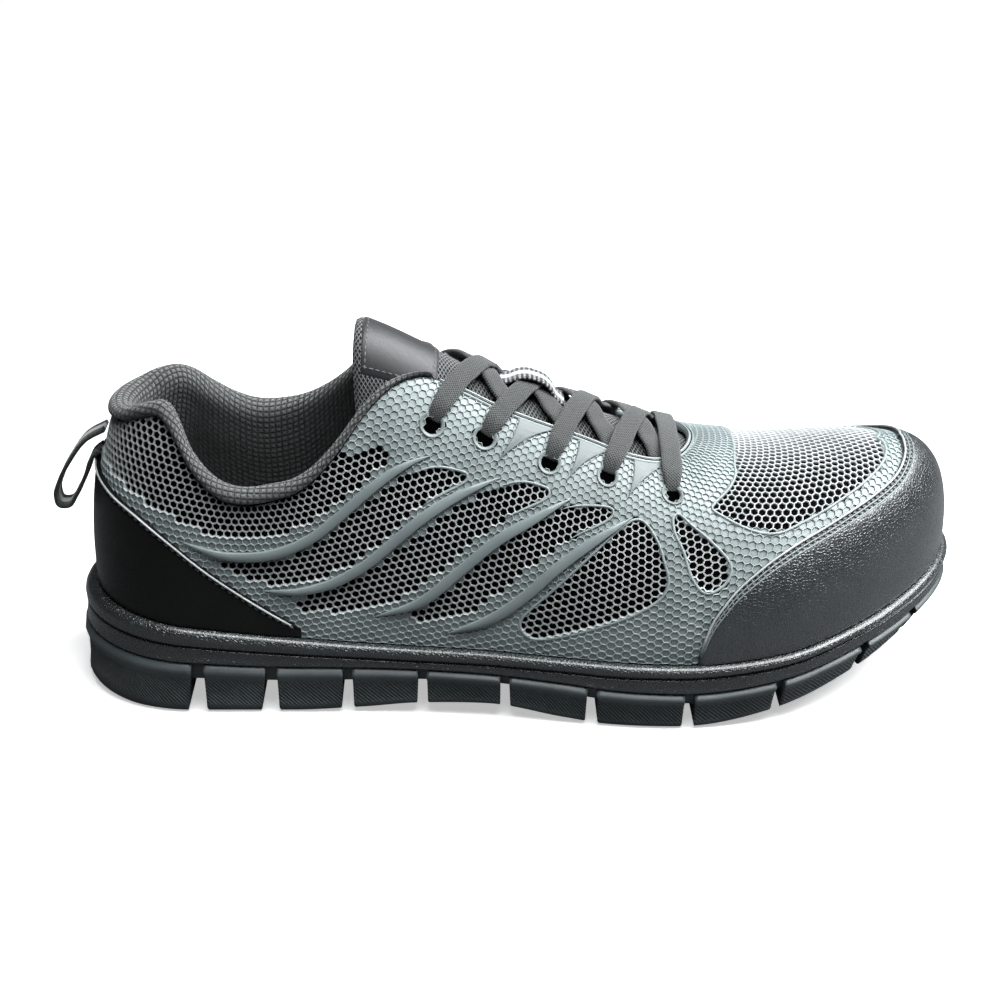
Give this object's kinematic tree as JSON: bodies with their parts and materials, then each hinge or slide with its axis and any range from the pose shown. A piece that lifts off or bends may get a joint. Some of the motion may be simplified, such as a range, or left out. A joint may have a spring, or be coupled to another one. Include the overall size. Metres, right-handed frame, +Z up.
{
  "type": "safety sneaker",
  "caption": "Low-cut right safety sneaker with a moulded cup sole cut into blocks, hollow mesh upper, leather toe cap and heel counter, padded collar, tongue and laces.",
  "frame": {"origin": "on the floor under the middle of the heel, on the flat face of the sole there", "axes": "+X to the toe along the shoe's length, +Z up, +Y to the inner (medial) side of this right shoe"},
  "size_m": [0.3126, 0.1111, 0.1279],
  "materials": {
    "outsole": "satin black moulded rubber",
    "midsole": "satin black moulded rubber with a leather-like grain",
    "insole": "dark textile",
    "upper": "slate grey moulded film over black mesh",
    "toe_cap": "grained black leather",
    "heel_counter": "smooth glossy black leather",
    "collar": "black knitted padding",
    "tongue": "dark grey mesh",
    "webbing": "black webbing with a pale stripe",
    "lace": "dark grey flat lace"
  },
  "bodies": {
    "root": {"outsole": "outsole", "midsole": "midsole", "insole": "insole", "upper": "upper", "toe_cap": "toe_cap", "heel_counter": "heel_counter", "collar": "collar", "tongue": "tongue", "tongue_loop": "webbing", "pull_loop": "webbing", "lace_bar": "lace", "lace_cross_1": "lace", "lace_cross_2": "lace", "lace_cross_3": "lace", "lace_cross_4": "lace"}
  },
  "joints": []
}
